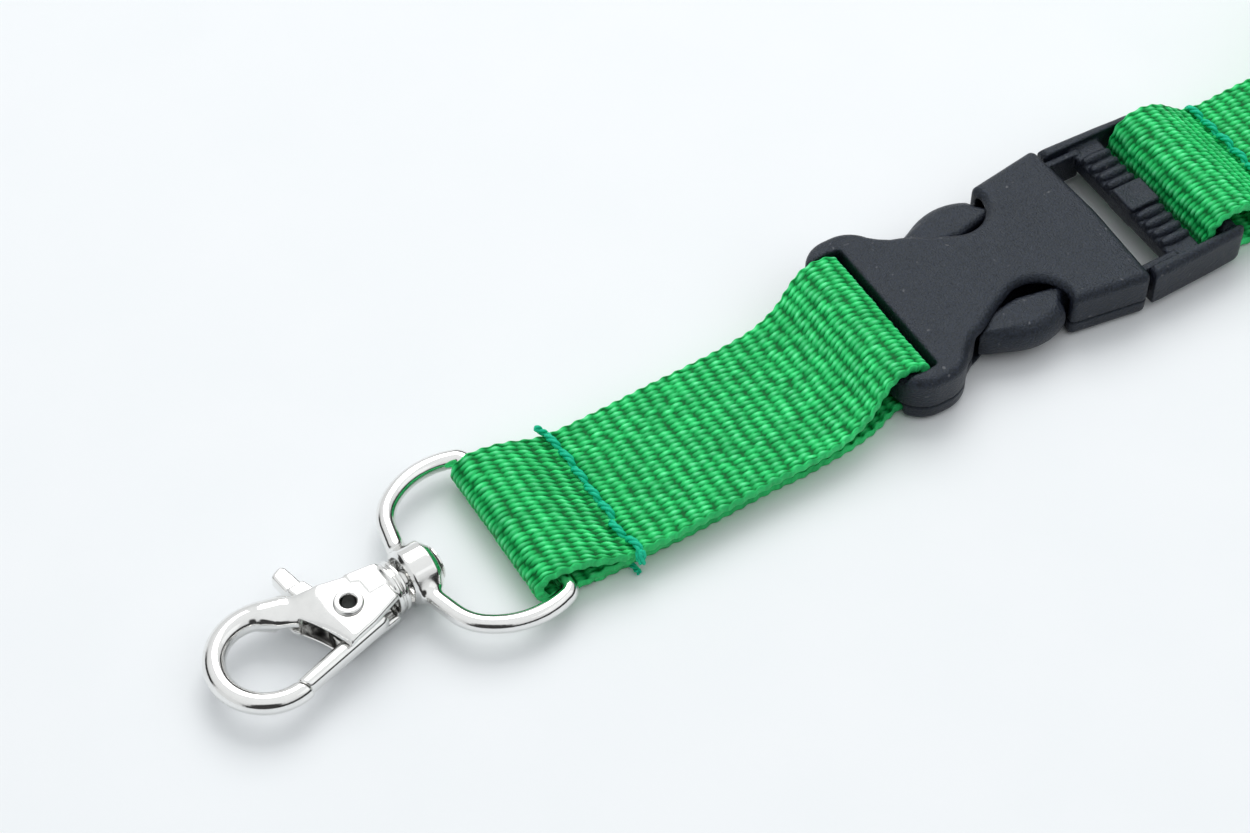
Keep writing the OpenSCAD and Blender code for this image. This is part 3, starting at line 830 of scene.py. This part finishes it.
FRAME_Z, INNER_HW = (0.5, 6.3), 10.55
LADDER_X, LADDER_Z = (21.9, 26.3), (3.1, 5.35)
PAD_HW, PAD_TOP = 2.1, 6.15
DIMPLE_R, DIMPLE_Z = 6.15, 12.1
GRIPS, GRIP_PITCH, GRIP_Z = 4, 1.62, 5.3
END_BAR_X, END_BAR_Z = (29.6, 31.8), (2.2, 6.0)
PLUG_X, PLUG_Z, PLUG_HW = (14.6, 16.6), (1.35, 5.55), 9.4
TONGUE_X, TONGUE_HW = -5, 1.5
SIDE_WEB_X, SIDE_WEB_Y = 22.9, (9.35, 10.35)
ARM_ROOT, ARM_ROOT_R, ARM_Z = (14.3, 8.2), 0.68, (1.3, 5.72)


def add_piece(name, verts, faces, material, body, slot, node):
    """A piece made from the surface of a field, its faces turned outward."""
    obj = make_mesh(name, verts, faces, material)
    flip_if_inside_out(obj)
    place(obj, body, node)


def female_outline():
    half = [(TAIL_X, 0), (TAIL_X, 8.6), *arc((-13.4, 8.6), 4.2, 180, 90, 14),
            *arc((-12.2, 8.1), 4.7, 90, 32, 12), (-7.3, 9.75), (-6.1, 8.95), (-4.8, 8.5),
            (-3.6, 7.9), (-1.4, 6.6), *arc(WINDOW_AT, WINDOW_R, -118, -8, 16),
            (WINDOW_END, 10.4), (WINDOW_END + 0.4, 10.8), (16.4, MOUTH_HW - 0.05),
            *arc((16.5, MOUTH_HW - 1), 1, 90, 0, 6), (FRONT_X, 0)]
    return half + mirrored(half)[1:-1]


def female_buckle():
    g = Grid((-18.2, -13.1, -0.4), (18.6, 13.1, 7.3), (0.2, 0.2, 0.12))
    outline = polygon_field(g.plan, female_outline())
    body = thick(outline, g.z, 0, BUCKLE_H, 1.15)
    mould_line = np.maximum(np.abs(g.z - PARTING_Z) - 0.12, -(outline + 0.3))
    socket_half = [(FRONT_X + 3, 10.9), (FRONT_X - 1, 10.8), (WINDOW_END, 9.5), (WINDOW_END - 0.5, 14),
                   (-4, 14), (-7, 6.2)]
    socket = polygon_field(g.plan, socket_half + mirrored(socket_half))
    socket = thick(socket, g.z, WALL, BUCKLE_H - WALL, 0.35)
    lip_half = [(FRONT_X - 0.1, 11.3), (FRONT_X + 3, 12)]
    lip = polygon_field(g.plan, lip_half + mirrored(lip_half))
    lip = thick(lip, g.z, WALL - LIP, BUCKLE_H - WALL + LIP, 0.3)
    slot = box_field(g, (SLOT_X[0], -SLOT_HW, -9), (SLOT_X[1], SLOT_HW, 18), 0.35)
    over_bar = box_field(g, (TAIL_X - 5, -SLOT_HW, TAIL_BAR_Z[1]), (-13.5, SLOT_HW, 18), 0.5)
    under_bar = box_field(g, (TAIL_X - 5, -SLOT_HW, -9), (-13.5, SLOT_HW, TAIL_BAR_Z[0]), 0.5)
    cuts = ((socket, 0.15), (lip, 0.3), (slot, 0.5), (over_bar, 0.6), (under_bar, 0.6),
            (mould_line, 0.08))
    for tool, edge in cuts:
        body = cut(body, tool, edge)
    add_piece("female_buckle_shell", *surface(body, g), charcoal, "female_half", "buckle_plastic",
              "female_buckle")


def leaf(g, x0, x1, y, z, width, rise):
    """A grip rib along X, fullest at its middle and tapering to rounded ends."""
    mid, half = (x0 + x1) / 2, (x1 - x0) / 2
    along = np.clip(1 - ((g.x - mid) / half)**2, 0, 1)
    r = width * (0.45 + 0.55 * np.sqrt(along))
    end = np.maximum(np.abs(g.x - mid) - half + 0.3, 0)
    return np.sqrt((g.y - y)**2 + ((g.z - z) * width / rise)**2 + end**2) - r


def male_frame():
    g = Grid((-5.6, -13.0, 0.0), (33.4, 13.0, 7.0), (0.2, 0.18, 0.12))
    half = [(SHOULDER_X, 12.1), (SHOULDER_X + 1, 12.15), (26.6, 11.9), (31, 11.65),
            *arc((FRAME_END - 1.7, 9.95), 1.7, 80, 0, 8)]
    outline = polygon_field(g.plan, half + mirrored(half))
    body = thick(outline, g.z, *FRAME_Z, 1.0)
    inside = box_field(g, (SHOULDER_X - 1, -INNER_HW, -9), (FRAME_END + 3, INNER_HW, 18), 0.3)
    body = cut(body, inside, 0.3)
    (x0, x1), (z0, z1) = LADDER_X, LADDER_Z
    body = join(body, box_field(g, (x0, -INNER_HW - 1, z0), (x1, INNER_HW + 1, z1), 0.5), 0.5)
    body = join(body, box_field(g, (x0, -PAD_HW, z0), (x1, PAD_HW, PAD_TOP), 0.35), 0.25)
    dimple = np.sqrt((g.x - (x0 + x1) / 2)**2 + (g.y * 1.1)**2 + (g.z - DIMPLE_Z)**2) - DIMPLE_R
    body = cut(body, dimple, 0.2)
    for side in (-1, 1):
        for k in range(GRIPS):
            y = side * (PAD_HW + GRIP_PITCH * (k + 0.55))
            body = join(body, leaf(g, x0 + 0.1, x1 - 0.1, y, GRIP_Z, 0.74, 0.84), 0.14)
    (x0, x1), (z0, z1) = END_BAR_X, END_BAR_Z
    body = join(body, box_field(g, (x0, -INNER_HW - 1, z0), (x1, INNER_HW + 1, z1), 0.75), 0.4)
    (x0, x1), (z0, z1) = PLUG_X, PLUG_Z
    body = join(body, box_field(g, (x0, -PLUG_HW, z0), (x1, PLUG_HW, z1), 0.25), 0.2)
    tongue = box_field(g, (TONGUE_X, -TONGUE_HW, z0 + 0.4), (x1, TONGUE_HW, z1 - 0.4), 0.4)
    body = join(body, tongue, 0.2)
    for side in (1, -1):
        low, high = sorted(side * y for y in SIDE_WEB_Y)
        body = join(body, box_field(g, (x0, low, z0), (SIDE_WEB_X, high, z1), 0.25), 0.2)
    for side in (-1, 1):
        root = np.hypot(g.x - ARM_ROOT[0], g.y - side * ARM_ROOT[1]) - ARM_ROOT_R - 0.08
        body = cut(body, root, 0.05)
    add_piece("male_frame_moulding", *surface(body, g), charcoal, "male_half", "buckle_plastic",
              "male_frame")


def latch_arm(side):
    g = Grid((-5.6, 4.8, 0.9), (15.4, 11.7, 6.1), (0.14, 0.14, 0.12))
    beam = [(14.4, 8.7), (14.4, 7.7), (7, 6.6), (2, 5.7), (-2.2, 6.1), (-4.4, 7.7),
            *catmull([(-5, 8.4), (-3.9, 9.35), (-2.4, 10.25), (-0.6, 11.05), (1.4, 11.5), (3.2, 11.5),
                      (4.8, 11.15), (6.0, 10.6), (6.5, 9.9), (6.55, 8.9)], 5), (7.2, 8.2)]
    root = np.hypot(g.x - ARM_ROOT[0], g.y - ARM_ROOT[1]) - ARM_ROOT_R
    plan = np.minimum(polygon_field(g.plan, beam), root)
    high = np.abs(g.z - BUCKLE_H / 2) / 2.15
    on_pad = np.clip((g.y - 8.6) / 1.2, 0, 1) * np.clip((7.2 - g.x) / 1.5, 0, 1)
    plan = plan + 0.8 * on_pad * high**2
    verts, faces = surface(thick(plan, g.z, *ARM_Z, 0.95), g)
    verts[:, 1] *= side
    word = "left" if side > 0 else "right"
    add_piece(f"latch_arm_{word}_moulding", verts, faces, charcoal, f"latch_{word}", "buckle_plastic",
              f"latch_arm_{word}")


female_buckle()
male_frame()
latch_arm(1)
latch_arm(-1)

# --- Ring ---

RING_DROP = math.radians(2.9)
WIRE_R = 1.1
HUB_R, HUB_BACK, HUB_FRONT, HUB_CHAMFER = 3.4, -1.9, 2.2, 0.7
POST_R = 1.2


def ring_side():
    """One side of the ring's wire, from the hub round to its bar."""
    def point(c, r, h):
        return (c[0] - r * math.cos(math.radians(h)), c[1] + r * math.sin(math.radians(h)))

    def centre(p, r, h):
        return (p[0] + r * math.cos(math.radians(h)), p[1] - r * math.sin(math.radians(h)))

    a, a_end, b, b_end, c = 5.8, 52, 10, 110, 1.4
    ca = centre((0.75, 6.9), a, 14)
    cb = centre(point(ca, a, a_end), b, a_end)
    cc = centre(point(cb, b, b_end), c, b_end)
    line = [(-0.45, 1.6), (0, 4)]
    line += [point(ca, a, h) for h in range(14, a_end, 4)]
    line += [point(cb, b, h) for h in range(a_end, b_end - 2, 4)]
    line += [point(cc, c, h) for h in range(b_end, 181, 10)]
    return line + [(cc[0] + c, cc[1] - 1)]


def turned(g, profile):
    """Field of a piece turned about the X axis; profile is a closed outline of (x, radius)."""
    r = np.hypot(g.y, g.z) + 0 * g.x
    x = g.x + 0 * r
    flat = np.stack([x, r], axis=-1).reshape(-1, 1, 2)
    return polygon_field(flat, profile).reshape(r.shape)


def swivel_ring():
    g = Grid((-2.4, -13.7, -3.8), (15.0, 13.7, 3.8), (0.13, 0.13, 0.13))
    line = ring_side()
    line += mirrored(line)
    wire = tapered_field(g, line, [WIRE_R] * len(line))
    hub = turned(g, [(HUB_BACK, 0), (HUB_BACK, HUB_R - HUB_CHAMFER), (HUB_BACK + HUB_CHAMFER, HUB_R),
                     (HUB_FRONT - HUB_CHAMFER, HUB_R), (HUB_FRONT, HUB_R - HUB_CHAMFER), (HUB_FRONT, 0)])
    body = join(hub + 0.05, wire, 1.1)
    body = cut(body, rod_x(g, HUB_BACK - 3, HUB_BACK + 0.9, HUB_R - 0.65, 0.2), 0.15)
    body = cut(body, np.hypot(g.y, g.z) + 0 * g.x - POST_R - 0.08, 0.12)
    verts, faces = surface(body, g)
    aside = np.clip((np.abs(verts[:, 1]) - HUB_R) / 1.5, 0, 1)
    away = np.maximum(aside, np.clip((verts[:, 0] - 4) / 2, 0, 1))
    verts[:, 2] -= math.tan(RING_DROP) * verts[:, 0] * away * away * (3 - 2 * away)
    add_piece("swivel_ring_casting", moved_into(verts, IN_RING), faces, nickel, "ring", "nickel",
              "swivel_ring")


swivel_ring()

# --- Hook, gate and rivet ---

PLATE_TOP, PLATE_T = 2.6, 1.1
CLAW_AT, CLAW_R, CLAW_ROOT = (-19.2, 0.25), 5.8, (-14.7, 4.8)
CLAW_JOINT_R, GATE_GAP = 10.5, 0.15
RIVET_R, RIVET_BORE_R, RIVET_HEAD_R, RIVET_HEAD_T = 1.25, 0.9, 1.75, 0.45
GATE_HALF_H = 1.2


def hook_body():
    g = Grid((-26.8, -7.9, -3.0), (-2.0, 7.9, 3.0), (0.12, 0.12, 0.11))
    plate = polygon_field(g.plan, [
        (-4.0, 2.45), (-7.8, 3.05), (-11.3, 4.05), (-14, 5.15), (-16.6, 6.3), (-18, 5.4),
        *catmull([(-17.6, 4.0), (-16.4, 2.85), (-14.9, 1.75), (-13.5, 0.1), (-12.5, -1.9),
                  (-11.9, -3.7)], 5),
        (-11.55, -5.0), (-7.8, -4.2), (-4.0, -2.9)])
    to_claw = np.clip((-10.5 - g.x) / 6.2, 0, 1)
    drop = 1.3 * to_claw * to_claw * (3 - 2 * to_claw)
    crown = 0.42 * np.clip(1 + plate / 1.5, 0, 1)**2 * np.clip((g.x + 13.5) / -2 + 1.5, 0, 1)
    upper = thick(plate, g.z + drop + crown, PLATE_TOP - PLATE_T, PLATE_TOP, 0.5)
    under = np.maximum(plate, polygon_field(g.plan, [(0, -2.3), (-15, -4.55), (-15, 20), (0, 20)]))
    lower = thick(under, g.z - drop - crown, -PLATE_TOP, PLATE_T - PLATE_TOP, 0.5)
    wall = polygon_field(g.plan, [
        (-3.6, 2.3), (-7.3, 3), (-7.3, 1.7), (-6.4, 1.2), (-6.4, -0.8), (-3.6, -0.8)])
    wall = thick(wall, g.z, -PLATE_TOP, PLATE_TOP, 0.3)
    shoulder = polygon_field(g.plan, [
        (-14.3, 5.1), (-17.2, 6), (-17.4, 4.4), (-16.4, 3.2), (-15.2, 3.6)])
    shoulder = thick(shoulder, g.z, -1.2, 1.2, 0.5)
    claw_line = [CLAW_ROOT] + arc(CLAW_AT, CLAW_R, 68, 295, 56)
    along = np.linspace(0, 1, len(claw_line))
    claw_radii = np.interp(along, [0, 0.12, 0.35, 1], [1.6, 1.45, 1.3, 1.22])
    claw = tapered_field(g, claw_line, claw_radii)
    flange = rod_x(g, -3.9, -2.4, 3.05, 0.25)
    groove = rod_x(g, -3.3, -3.0, 9, 0.02)
    rim = np.maximum(groove, 2.8 - np.hypot(g.y, g.z))
    body = join(upper, lower, 0.02)
    for piece, fillet in ((wall, 0.35), (shoulder, 0.5), (claw, 1.0), (flange, 0.3)):
        body = join(body, piece, fillet)
    body = cut(body, rim, 0.14)
    body = cut(body, rod_x(g, -9, 0, POST_R, 0.02), 0.05)
    to_pivot = np.hypot(g.x - PIVOT.x, g.y - PIVOT.y)
    body = cut(body, to_pivot - RIVET_R - 0.02 + 0 * g.z, 0.1)
    sweep = np.maximum(box_field(g, (-19.6, -9, -2), (-14.6, -3, 2)), to_pivot - CLAW_JOINT_R)
    body = cut(body, sweep, 0.2)
    room = polygon_field(g.plan, [
        (-8.6, 1.6), (-10.8, 3.3), (-12.9, 3.5), (-14.4, 1.2), (-13.2, -6), (-6.6, -6), (-6.6, 1.0)])
    body = cut(body, thick(room, g.z, -1.5, 1.5, 0.25), 0.2)
    verts, faces = surface(body, g)
    add_piece("hook_casting", moved_into(verts, IN_HOOK), faces, nickel, "hook", "nickel", "hook_body")


def gate_lever():
    g = Grid((-20.2, -7.2, -1.5), (-5.5, 10.1, 1.5), (0.1, 0.1, 0.1))
    bar = polygon_field(g.plan, [
        (-20.4, -6.85), (-18, -6.3), (-12, -5.15), (-6.6, -4.1), (-6.0, -3.75), (-5.9, -3.2),
        (-6.3, -2.6), (-7.4, -2.2), (-12.4, -3.1), (-18, -4.3), (-20.4, -4.75)])
    to_pivot = np.hypot(g.x - PIVOT.x, g.y - PIVOT.y)
    tab = polygon_field(g.plan, [
        (-7.2, -2.4), (-6.9, -0.4), (-8.4, 1.7), (-10.2, 4.2), (-10.9, 6.6), (-11.2, 8.9),
        (-11.6, 9.5), (-12.2, 9.7), (-12.9, 9.45), (-13.2, 8.8), (-13.1, 6.4), (-12.4, 3.6),
        (-11.1, 0.4), (-11, -3)])
    bar = thick(bar, g.z, -GATE_HALF_H, GATE_HALF_H, 0.92)
    tab = thick(tab, g.z, -GATE_HALF_H, GATE_HALF_H, 0.35)
    body = join(bar, tab, 0.3)
    body = join(body, np.maximum(to_pivot - 2.3, np.abs(g.z) - GATE_HALF_H), 0.2)
    body = cut(body, to_pivot - RIVET_R - 0.08 + 0 * g.z, 0.05)
    tip = -(to_pivot - (CLAW_JOINT_R - GATE_GAP)) + 0 * g.z
    body = cut(body, tip, 0.35)
    spring_room = np.maximum(to_pivot - 2.08, g.z - (-GATE_HALF_H + 1.18))
    body = cut(body, spring_room, 0.05)
    body = cut(body, box_field(g, (-14.5, 6.2, GATE_HALF_H - 0.5), (-9, 12, 4)), 0.5)
    verts, faces = surface(body, g)
    add_piece("gate_lever_casting", moved_into(verts, IN_HOOK), faces, nickel, "gate", "nickel",
              "gate_lever")


TURNED_SIDES = 72


def lathe_closed(name, profile, material, m, along_x=False):
    """A turned piece from a closed outline of (radius, height)."""
    w = np.linspace(0, 2 * math.pi, TURNED_SIDES, endpoint=False)
    rings = []
    for r, h in profile:
        c, s, flat = r * np.cos(w), r * np.sin(w), np.full(TURNED_SIDES, h)
        rings.append(np.stack([flat, c, s] if along_x else [c, s, flat], axis=1))
    faces = ring_faces(len(profile), TURNED_SIDES, closed_path=True)
    obj = make_mesh(name, moved_into(np.vstack(rings), m), faces, material, sharp=50)
    flip_if_inside_out(obj)
    return obj


def rolled_head(z, sign):
    """Outline of a tubular rivet's rolled head, from its shank out and back in to the bore."""
    low, top = z, z + RIVET_HEAD_T
    half = [(RIVET_R, low), (RIVET_HEAD_R - 0.05, low), (RIVET_HEAD_R, low + 0.1)]
    half += [(RIVET_HEAD_R - 0.35 + 0.35 * math.cos(a), top - 0.33 + 0.33 * math.sin(a))
             for a in np.radians(range(10, 91, 16))]
    half += [(RIVET_BORE_R + 0.28 - 0.28 * math.sin(a), top - 0.28 + 0.28 * math.cos(a))
             for a in np.radians(range(0, 91, 15))]
    return [(r, sign * h) for r, h in half]


at_pivot = IN_HOOK @ Matrix.Translation((PIVOT.x, PIVOT.y, 0))
outline = rolled_head(PLATE_TOP, 1) + rolled_head(PLATE_TOP, -1)[::-1]
rivet = lathe_closed("gate_rivet_tube", outline, rivet_metal, at_pivot)
place(rivet, "hook", "gate_rivet")

SPRING_R, SPRING_WIRE, SPRING_PITCH, SPRING_FOOT = 1.75, 0.36, 0.37, -1.12
turns = np.radians(np.arange(0, 760, 6))
rise = SPRING_FOOT + SPRING_WIRE / 2 + SPRING_PITCH * turns / (2 * math.pi)
coil = np.column_stack([SPRING_R * np.cos(turns), SPRING_R * np.sin(turns), rise])
coil = moved_into(coil, at_pivot)
spring = swept("gate_spring_coil", coil, SPRING_WIRE / 2, spring_metal, 12)
place(spring, "hook", "gate_spring")

post_profile = [
    (0.02, -5), (POST_R - 0.1, -5), (POST_R, -4.9), (POST_R, 2.4), (1.95, 2.4), (2.1, 2.5),
    (2.08, 2.65), (1.8, 2.8), (1.2, 2.88), (0.6, 2.9), (0.02, 2.9)]
post = lathe_closed("swivel_post_pin", post_profile, rivet_metal, IN_HOOK, along_x=True)
place(post, "hook", "swivel_post")
hook_body()
gate_lever()

# --- Tie round the folded strap ---


def hank_tie():
    """A band of hook-and-loop tape, its end lapped over on top."""
    low, high = (np.array(v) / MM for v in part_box("hank_tie"))
    g = Grid(low - 1, high + (1, 1, 1.4), (0.3, 0.25, 0.17))
    outer = box_field(g, low, high, 1.0)
    inner = box_field(g, low + (-9, 0.5, 0.5), high + (9, -0.5, -0.5), 0.6)
    lap = box_field(g, (low[0] + 0.3, -6.5, high[2] - 0.2), (high[0] - 0.2, 7.5, high[2] + 0.45), 0.2)
    rng = np.random.default_rng(RNG_SEED)
    fluff = rng.normal(0, 0.03, (g.x.size, g.y.size, g.z.size)).astype(np.float32)
    body = join(cut(outer, inner, 0.1), lap, 0.12) + fluff
    add_piece("hank_tie_band", *surface(body, g), tie_cloth, "male_half", "tie", "hank_tie")


hank_tie()

# --- Floor and light ---

bpy.ops.mesh.primitive_plane_add(size=6, location=(0, 0, 0))
floor = bpy.context.object
floor.name = "floor"
floor.data.materials.append(floor_material())


def area_light(name, location, target, size, watts, colour):
    data = bpy.data.lights.new(name, "AREA")
    data.shape, data.size, data.size_y = "RECTANGLE", size[0], size[1]
    data.energy, data.color = watts, colour
    obj = bpy.data.objects.new(name, data)
    obj.location = location
    obj.rotation_euler = (Vector(target) - Vector(location)).to_track_quat("-Z", "Y").to_euler()
    bpy.context.scene.collection.objects.link(obj)


area_light("key", (0.36, 0.58, 0.84), (-0.02, 0, 0), (0.75, 0.75), 5.0, (1.0, 0.998, 0.99))
area_light("fill", (0.6, -0.5, 0.7), (-0.03, 0, 0), (0.8, 0.6), 0.3, (0.97, 0.985, 1.0))


def studio_world():
    """White surround, with a dark band near the horizon that gives bright metal something to reflect."""
    world = bpy.data.worlds.new("studio")
    world.use_nodes = True
    tree = world.node_tree
    background = tree.nodes["Background"]
    here = tree.nodes.new("ShaderNodeTexCoord")
    parts = tree.nodes.new("ShaderNodeSeparateXYZ")
    ramp = tree.nodes.new("ShaderNodeValToRGB")
    tree.links.new(here.outputs["Generated"], parts.inputs[0])
    tree.links.new(parts.outputs["Z"], ramp.inputs[0])
    stops = [(0.0, 0.5), (0.06, 0.03), (0.31, 0.04), (0.39, 0.85), (0.6, 1.0), (1.0, 1.1)]
    while len(ramp.color_ramp.elements) < len(stops):
        ramp.color_ramp.elements.new(0.5)
    for element, (where, level) in zip(ramp.color_ramp.elements, stops):
        element.position = where
        element.color = (level * 0.97, level * 0.99, level, 1)

    def toward(direction, start, full):
        """0 to 1 as the view of the surround nears a direction."""
        dot = tree.nodes.new("ShaderNodeVectorMath")
        dot.operation = "DOT_PRODUCT"
        tree.links.new(here.outputs["Generated"], dot.inputs[0])
        dot.inputs[1].default_value = Vector(direction).normalized()
        spread = tree.nodes.new("ShaderNodeMapRange")
        spread.inputs["From Min"].default_value, spread.inputs["From Max"].default_value = start, full
        tree.links.new(dot.outputs["Value"], spread.inputs["Value"])
        return spread.outputs["Result"]

    def blended(factor, a, b):
        mix = tree.nodes.new("ShaderNodeMix")
        mix.data_type = "RGBA"
        tree.links.new(factor, mix.inputs[0])
        tree.links.new(a, mix.inputs[6])
        mix.inputs[7].default_value = b
        return mix.outputs[2]

    # White cards behind and at the left break the dark band. A dark patch low in front is where the
    # room shows past the lamps.
    shade = ramp.outputs["Color"]
    for card in ((0, 1, 0.05), (-1, 0, 0.05)):
        shade = blended(toward(card, 0.86, 0.92), shade, (0.88, 0.9, 0.91, 1))
    shade = blended(toward((-0.45, -0.72, 0.42), 0.9, 0.95), shade, (0.05, 0.05, 0.05, 1))
    tree.links.new(shade, background.inputs["Color"])
    background.inputs["Strength"].default_value = 0.87
    bpy.context.scene.world = world


studio_world()
bpy.context.scene.view_settings.view_transform = "Standard"
